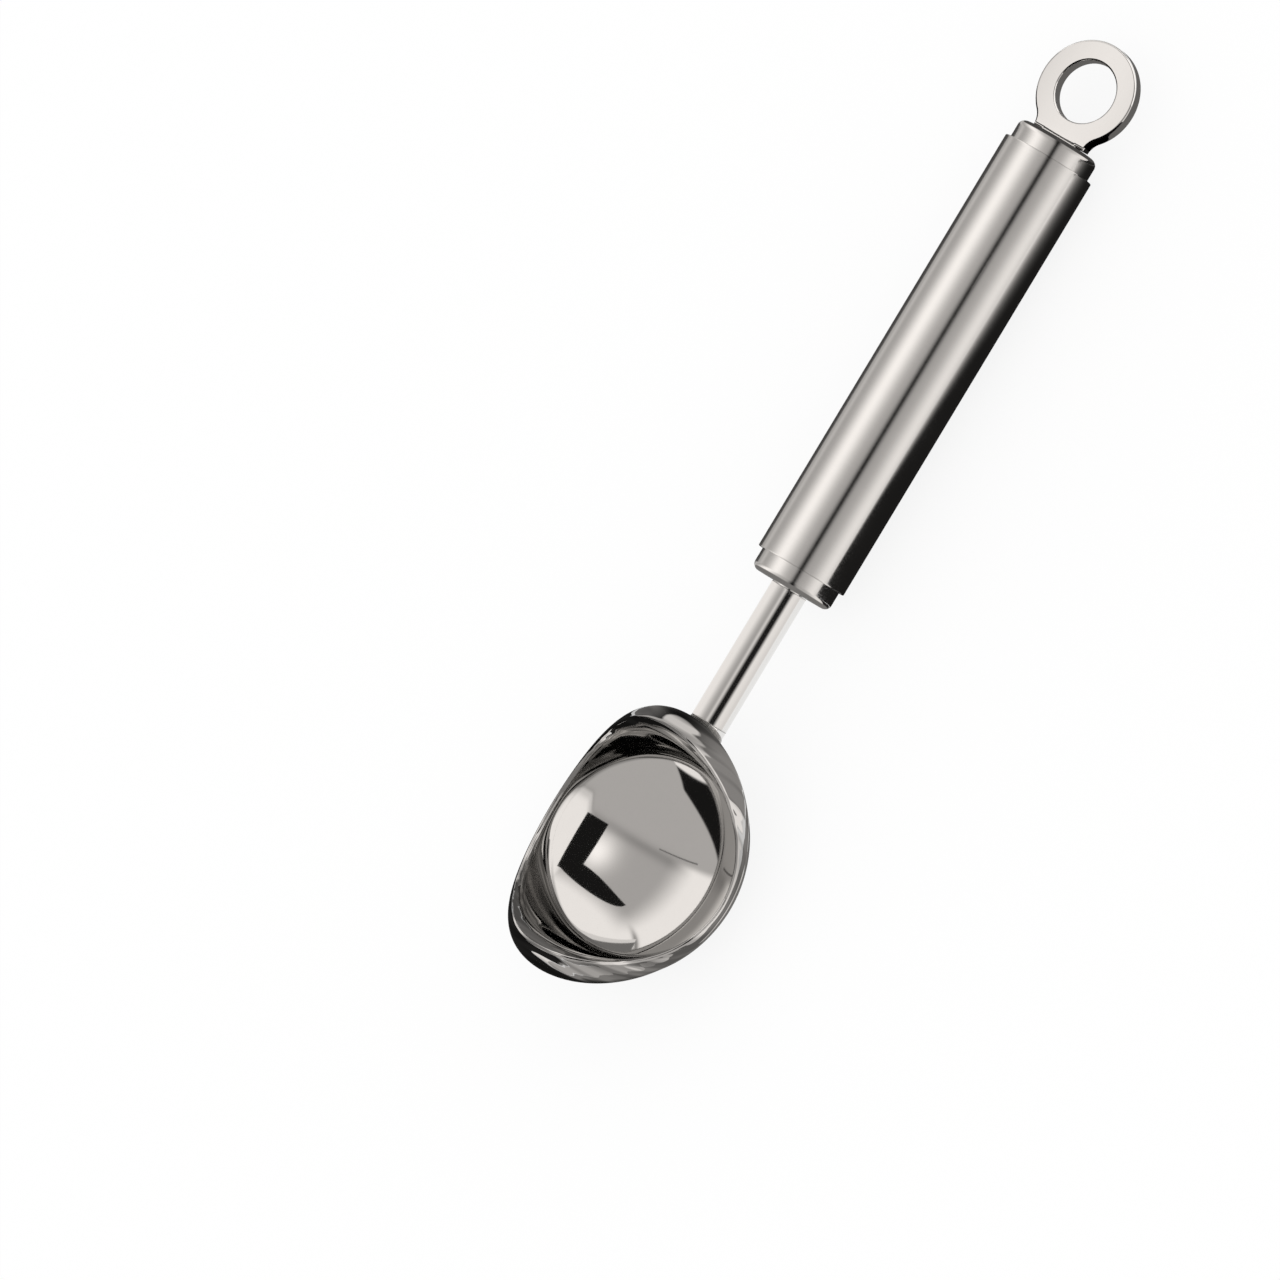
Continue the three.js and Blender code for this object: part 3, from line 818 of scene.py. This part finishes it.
class SCOOP_OT_rod(Operator):
    """Make the round rod between the bowl and the handle, and the bead that joins it to the bowl"""

    bl_idname = "scoop.rod"
    bl_label = "Rod and bowl weld"

    def execute(self, context):
        finished_piece("scoop_rod", rod_surface(), "rod", bar_steel())
        finished_piece("scoop_bowl_weld", bowl_weld_surface(), "bowl_weld", weld_steel(), 60)
        return {"FINISHED"}


class SCOOP_OT_handle(Operator):
    """Make the handle tube and the two caps that close it"""

    bl_idname = "scoop.handle"
    bl_label = "Handle tube and caps"

    def execute(self, context):
        satin = handle_steel()
        finished_piece("scoop_handle_tube", tube_surface(), "handle_tube", satin)
        finished_piece("scoop_front_cap", front_cap_surface(), "front_cap", satin)
        finished_piece("scoop_rear_cap", rear_cap_surface(), "rear_cap", satin)
        return {"FINISHED"}


class SCOOP_OT_ring(Operator):
    """Make the flat hanging ring with its neck and tang"""

    bl_idname = "scoop.ring"
    bl_label = "Hanging ring"

    def execute(self, context):
        polish = bar_steel()
        finished_piece("scoop_hanging_ring", ring_surface(), "hanging_ring", polish, 50)
        return {"FINISHED"}


class SCOOP_OT_inner_welds(Operator):
    """Give the weld beads inside the handle their finish"""

    bl_idname = "scoop.inner_welds"
    bl_label = "Inner weld beads"

    def execute(self, context):
        for name in ("rod_weld", "ring_weld_upper", "ring_weld_lower"):
            materials = frame["nodes"][name].data.materials
            materials.clear()
            materials.append(weld_steel())
        return {"FINISHED"}


# Brightness 1 is white. Angles are in degrees from the camera's side, right positive. A soft light is
# (middle, half width, height) and a soft step is (from, to, height). Values of one card are defaults of the
# function that makes it
LIGHT_TINT = (1.02, 0.983, 0.955, 1.0)
DARK, WHITE = 0.012, 1.25
HANDLE_SPAN, TENT_START = (66, -131), 0.0002
HANDLE_LIGHTS = ((-55, 23, 0.74), (52, 21, 0.52), (-112, 8, 0.16))
CONE_RADII = (0.0145, 0.029)
CARD_GAP, CARD_STEP, FLOOR_REACH = 0.0003, 0.0004, 6.0


def column(start, stop, count):
    """Evenly spaced values down a grid."""
    return np.linspace(start, stop, count)[:, None]


def row(start, stop, count):
    """Evenly spaced values across a grid."""
    return np.linspace(start, stop, count)[None, :]


def light_card(name, grid, glow):
    """A card that only mirrors see, on its front: a grid of points whose glow attribute is its brightness."""
    rows, columns = grid.shape[:2]
    index = np.arange(rows * columns).reshape(rows, columns)
    quads = np.stack([index[:-1, :-1], index[1:, :-1], index[1:, 1:], index[:-1, 1:]], -1).reshape(-1, 4)
    card = mesh_object(name, laid(grid.reshape(-1, 3)), quads.tolist(), SMOOTH)
    values = card.data.attributes.new("glow", "FLOAT", "POINT")
    values.data.foreach_set("value", np.broadcast_to(glow, (rows, columns)).astype(np.float32).ravel())
    card.data.materials.append(card_material())
    for ray in ("camera", "diffuse", "shadow", "transmission"):
        setattr(card, "visible_" + ray, False)


def card_material():
    """Plain light whose strength is the card's glow attribute on its front, and dark on its back."""
    if "light_card" in bpy.data.materials:
        return bpy.data.materials["light_card"]
    material, n = new_material("light_card")
    glow = n.add("ShaderNodeAttribute", attribute_name="glow").outputs["Fac"]
    front = n.math("SUBTRACT", 1.0, n.add("ShaderNodeNewGeometry").outputs["Backfacing"])
    strength = n.math("MULTIPLY", glow, front)
    n.surface(n.add("ShaderNodeEmission", {"Color": LIGHT_TINT, "Strength": strength}))
    return material


def lobe(value, middle, half, height=1.0):
    """A soft hump: its height times e to the power of minus the square of distance over half width."""
    return height * np.exp(-((value - middle) / half) ** 2)


def soft_step(value, start, stop, height=1.0):
    """A smooth step from nought at its start to its height at its stop, on either side of it."""
    s = np.clip((value - start) / (stop - start), 0, 1)
    return height * s * s * (3 - 2 * s)


def blend(one, other, part):
    """One value where the part is nought, and the other where it is one."""
    return one + (other - one) * part


def round_handle(radius, degrees, along):
    """Points round the handle axis, at a radius, an angle from the camera's side and a place along it."""
    a = np.radians(degrees) + own("studio").view_turn
    return points_of(radius * np.sin(a), along, radius * np.cos(a))


def towards(radius, degrees, rise):
    """Points round the bowl at a radius: angle from the camera's side about the handle, and rise along it."""
    e = np.radians(rise)
    return round_handle(radius * np.cos(e), degrees, handle_places()["bowl"] + radius * np.sin(e))


def handle_glow(a, grey=0.42, shade=0.02, slot=(-1.2, 5.6), slot_edge=0.7, ends=0.5):
    """Brightness round the handle: soft lights, a dark slot at the camera, and shade past the card's span."""
    right, left = HANDLE_SPAN
    glow = grey + sum(lobe(a, *light) for light in HANDLE_LIGHTS)
    glow = glow * (1 - lobe(a, *slot) ** slot_edge)
    return blend(shade, glow, (a < right + ends) & (a > left - ends))


def rod_glow(seen, left=0.42, far=(-34, -96, 0.54), near=(-19, 8, 0.28), right=0.92, dip=(84, 22, -0.13),
             slot_left=(3, -14), slot_right=(20, 44)):
    """Brightness round the rod: a light on each side of a dark slot at the camera."""
    left = left + soft_step(seen, *far) + lobe(seen, *near)
    right = right + lobe(seen, *dip)
    return DARK + left * soft_step(seen, *slot_left) + right * soft_step(seen, *slot_right)


def handle_tent(past_ring=0.018, ring_reach=0.004, ring_dim=-0.12, cone_edge=0.003, front_gap=0.00025,
                front_grey=0.2, front_edge=(0.0095, 0.01), rear_gap=0.001, rear_grey=0.07,
                rear_edge=(0.0097, 0.0102)):
    """A light card bent round the handle and ring, and cards at its ends that are dark next to the caps."""
    tent, p = own("studio").tent_radius, handle_places()
    a = column(*HANDLE_SPAN, 395)
    along = row(p["front"] - TENT_START, ring_centre() + past_ring, 24)
    at_ring = 1 + soft_step(along, p["rear"], p["rear"] + ring_reach, ring_dim)
    light_card("handle_light", round_handle(tent, a, along), handle_glow(a) * at_ring)
    a = column(180, -180, 361)
    radius = row(tent, p["rod"] + CARD_GAP, 200)
    by_rod = soft_step(radius, CONE_RADII[1], CONE_RADII[1] - cone_edge)
    front = round_handle(radius, a, p["front"] - CARD_GAP)
    light_card("front_end_light", front, blend(WHITE, rod_glow(a), by_rod))
    front = round_handle(radius, a, p["front"] - front_gap)
    glow = blend(front_grey, handle_glow(a), soft_step(radius, *front_edge))
    light_card("front_end_dark", front[:, ::-1], glow[:, ::-1])
    glow = blend(rear_grey, handle_glow(a), soft_step(radius, *rear_edge))
    light_card("rear_end_dark", round_handle(radius, a, p["rear"] + rear_gap), glow)


def surround(a, rise, wall=0.56, left=(-62, -90), left_gain=0.7, slot=(-13, 13), slot_rise=(12, 14, 0.9),
             high=(32, 48), right=(0, 7), tip=0.6, tip_edge=(-11, -7), tip_dip=(-7, 4, 0.3),
             tip_right=(3, 12, 12), line=(36.3, 1.3, 0.75), line_left=(-72, -100),
             corner=(0.02, 0.15, 0.0114, 38), corner_left=(-35, -55), corner_soft=0.03, patch_left=(-66, -69),
             patch_from=-108, patch_edges=((-15, -0.85), (-48, -0.39)), patch_soft=2.5, under=1.2):
    """Brightness of the studio round the bowl, by angle from the camera's side and by rise along the handle.

    Towards the ring a light wall, brightest beside the slot and far left, and towards the tip a grey one
    with a dim edge. Dark near the floor on the left: in the corner by the ring, whose edge goes up with the
    rise from a least height, and in a slanting patch by the tip, between two straight edges.
    """
    far = soft_step(a, *left)
    bright = wall + left_gain * far + lobe(a, *slot) * lobe(rise, *slot_rise)
    bright = blend(bright, WHITE, np.maximum(soft_step(rise, *high), soft_step(a, *right)))
    edge = rise + soft_step(a, *tip_right)
    glow = blend(tip, bright, soft_step(edge, *tip_edge))
    glow = glow * (1 - lobe(edge, *tip_dip) * (1 - far))
    glow = glow * (1 - lobe(rise, *line) * soft_step(a, *line_left))
    up = np.cos(np.radians(rise)) * np.cos(np.radians(a) + own("studio").view_turn)
    least, height, slope, middle = corner
    top = np.maximum(least, height + slope * (rise - middle))
    glow = glow * (1 - soft_step(a, *corner_left) * soft_step(up, top + corner_soft, top - corner_soft))
    patch = soft_step(a, *patch_left)
    top, foot = (height + slope * (a - patch_from) for height, slope in patch_edges)
    glow = glow * (1 - patch * soft_step(top - rise, 0, patch_soft))
    return np.maximum(glow + patch * soft_step(foot - rise, 0, patch_soft, under), DARK)


def dome_cards(span=(64, -122), slot=(6.5, -10.5), slot_rise=(-8, 36), arch=(6.5, -59), arch_foot=30,
               arch_dip=(-59, -10, -5), arch_middle=-24, arch_half=35, arch_height=9.3, seam=(-52, -88),
               seam_rise=-12.7, seam_slope=0.045, seam_width=0.8, seam_grey=0.2, nearer=0.98, nearest=0.97):
    """A light dome round the bowl: a dark slot at the camera, a dark arch to its left and a thin seam."""
    radius = own("studio").dome_radius
    a, rise = column(*span, 249), row(-89, 89, 238)
    light_card("dome_light", towards(radius, a, rise), surround(a, rise))
    light_card("dark_slot", towards(nearer * radius, column(*slot, 20), row(*slot_rise, 20)), DARK)
    a, s = column(*arch, 60), row(0, 1, 12)
    low = arch_foot + soft_step(a, *arch_dip)
    high = arch_foot + arch_height * np.sqrt(np.maximum(1 - ((a - arch_middle) / arch_half) ** 2, 0))
    light_card("dark_arch", towards(nearer * radius, a, blend(low, high, s)), DARK)
    a = column(*seam, 20)
    rise = seam_rise + seam_slope * (a - seam[1]) + seam_width * s
    light_card("dark_seam", towards(nearest * radius, a, rise), seam_grey)


def rod_tent(span=(84, -142), start=0.0005, nearness=0.0019, reach=0.05, foot=-0.0125, top=0.015, dark=0.02,
             left=(-0.003, -0.014, 0.2), right=(0, 0.014, 0.36), light=0.95, light_from=(0.0115, 0.012),
             back=0.0001, back_grey=0.4):
    """A cone of light round the rod, and two cards that end it: one seen from the bowl, one from the rod.

    The cone opens towards the handle, just low enough for the bowl's lip to hide it from the bowl's floor.
    What the rod shows at an angle lies at a somewhat smaller angle on a card that is so near.
    """
    p = handle_places()
    a, radius = column(*span, 227), row(*CONE_RADII, 12)
    along = row(p["rim"] + start, p["front"] - CARD_GAP, 12)
    light_card("rod_light", round_handle(radius, a, along), rod_glow(a / (1 - nearness / radius)))
    x, z = column(-reach, reach, 41), row(foot, top, 56)
    wall = points_of(x, p["rim"] + CARD_STEP, z)
    glow = dark + soft_step(x, *left) + soft_step(x, *right)
    light_card("rod_end_card", wall, blend(glow, light, soft_step(z, *light_from)))
    light_card("rod_end_back", wall[::-1] + np.array([0, back, 0]), back_grey)


def table_cards(reach=0.3, edge=0.013, edge_front=0.09, soft=0.115, soft_back=0.05, white=0.95,
                left=(-0.004, -0.02, 0.05), far_left=(-0.03, -0.09, 0.14), past_ring=0.016, ring_grey=0.14,
                ring_sides=(0.03, 0.08, 0.8), bowl_reach=1.0, bowl_gap=0.002, bowl_dark=0.02,
                bowl_right=(0.005, 0.035, 0.3)):
    """Cards flat on the floor beside the handle and round the bowl, which the steel's low sides mirror."""
    p = handle_places()
    x = column(-reach, reach, 241)
    along = row(p["front"] - TENT_START, p["rear"] + CARD_STEP, 40)
    back = (along - p["front"]) / (p["rear"] - p["front"])
    edge = edge + edge_front * (1 - back) ** 3
    glow = DARK + soft_step(x, edge, edge + soft - soft_back * back, white)
    flat_card("handle_floor_card", x, along, glow + soft_step(x, *left) + soft_step(x, *far_left))
    along = row(p["rear"] + CARD_STEP, ring_centre() + past_ring, 12)
    flat_card("ring_floor_card", x, along, ring_grey + soft_step(np.abs(x), *ring_sides))
    x = column(-bowl_reach, bowl_reach, 601)
    along = row(p["bowl"] - bowl_reach, p["rim"] - bowl_gap, 60)
    flat_card("bowl_floor_card", x, along, bowl_dark + soft_step(x, *bowl_right))


def flat_card(name, x, along, glow):
    """A card just over the floor, at given x and places along the handle."""
    lean, origin = place_on_table()
    grid = points_of(x, along * lean[1][1] + origin[1], CARD_STEP)
    light_card(name, (grid - origin) @ lean, glow)


def floor():
    """A wide pale floor that keeps a soft shadow: part plain white for the eye and mirrors, part shaded."""
    s = own("studio")
    corners = np.array([(-1, -1, 0), (1, -1, 0), (1, 1, 0), (-1, 1, 0)]) * FLOOR_REACH
    ground = mesh_object("floor", corners, [[0, 1, 2, 3]], SMOOTH)
    material, n = new_material("pale_floor")
    shaded = n.add("ShaderNodeBsdfDiffuse", {"Color": (*s.floor_colour, 1.0)})
    plain = n.add("ShaderNodeEmission", {"Color": (1.0, 1.0, 1.0, 1.0), "Strength": 1.0})
    path = n.add("ShaderNodeLightPath").outputs
    seen = n.math("MAXIMUM", path["Is Camera Ray"], path["Is Glossy Ray"])
    seen = n.math("MAXIMUM", seen, path["Is Transmission Ray"])
    both = n.add("ShaderNodeMixShader", {"Fac": n.math("MULTIPLY", seen, 1.0 - s.floor_shade)})
    n.put(both.inputs[1], shaded.outputs[0])
    n.put(both.inputs[2], plain.outputs[0])
    n.surface(both)
    ground.data.materials.append(material)


def white_world():
    """An even white surround that lights the floor."""
    world = bpy.data.worlds.new("white_surround")
    world.use_nodes = True
    background = world.node_tree.nodes["Background"]
    background.inputs["Color"].default_value = (1.0, 1.0, 1.0, 1.0)
    background.inputs["Strength"].default_value = 1.0
    bpy.context.scene.world = world


def camera():
    """A long lens square to the handle axis, turned about it, with the handle slanting up to the right."""
    s = own("studio")
    lean, origin = place_on_table()
    lean, origin = Matrix(lean.tolist()), Vector(origin)
    back = lean @ Vector((math.sin(s.view_turn), 0, math.cos(s.view_turn)))
    side = lean @ Vector((math.cos(s.view_turn), 0, -math.sin(s.view_turn)))
    ahead = lean @ Vector((0, 1, 0))
    c, t = math.cos(s.picture_turn), math.sin(s.picture_turn)
    right = t * ahead + c * side
    up = c * ahead - t * side
    data = bpy.data.cameras.new("camera")
    data.sensor_width = 36.0
    data.lens = data.sensor_width * s.camera_distance / s.picture_width
    data.clip_end = 50.0
    thing = bpy.data.objects.new("camera", data)
    place = origin + s.picture_across * right + s.picture_up * up + s.camera_distance * back
    turn = Matrix((right, up, back)).transposed().to_4x4()
    thing.matrix_world = Matrix.Translation(place) @ turn
    bpy.context.scene.collection.objects.link(thing)
    bpy.context.scene.camera = thing


class SCOOP_OT_stage(Operator):
    """Make the floor, the surround, the light cards and the camera"""

    bl_idname = "scoop.stage"
    bl_label = "Studio"

    def execute(self, context):
        floor()
        white_world()
        handle_tent()
        rod_tent()
        dome_cards()
        table_cards()
        camera()
        context.scene.view_settings.view_transform = "Standard"
        return {"FINISHED"}


STEPS = (
    SCOOP_OT_bowl,
    SCOOP_OT_rod,
    SCOOP_OT_handle,
    SCOOP_OT_ring,
    SCOOP_OT_inner_welds,
    SCOOP_OT_stage,
)
GROUPS = {
    "scoop_handle": ScoopHandleSizes,
    "scoop_ring": ScoopRingSizes,
    "scoop_bowl": ScoopBowlSizes,
    "scoop_finishes": ScoopFinishes,
    "scoop_studio": ScoopStudio,
}


class SCOOP_PT_panel(Panel):
    """Pieces, sizes and finishes of the scoop"""

    bl_idname = "SCOOP_PT_panel"
    bl_label = "Ice cream scoop"
    bl_space_type = "VIEW_3D"
    bl_region_type = "UI"
    bl_category = "Scoop"

    def draw(self, context):
        for step in STEPS:
            self.layout.operator(step.bl_idname)
        for name, kind in GROUPS.items():
            box = self.layout.box()
            box.label(text=kind.__doc__)
            for field in kind.__annotations__:
                box.prop(getattr(context.scene, name), field)


CLASSES = (*GROUPS.values(), *STEPS, SCOOP_PT_panel)


def register():
    """Makes the classes and the scene's settings known."""
    for kind in CLASSES:
        bpy.utils.register_class(kind)
    for name, kind in GROUPS.items():
        setattr(bpy.types.Scene, name, PointerProperty(type=kind))


def unregister():
    """Takes the settings and classes away again."""
    for name in GROUPS:
        delattr(bpy.types.Scene, name)
    for kind in reversed(CLASSES):
        bpy.utils.unregister_class(kind)


def main():
    """Makes every piece and the studio in order."""
    register()
    for step in STEPS:
        group, name = step.bl_idname.split(".")
        getattr(getattr(bpy.ops, group), name)()
    bpy.context.view_layer.update()


if __name__ == "__main__":
    main()
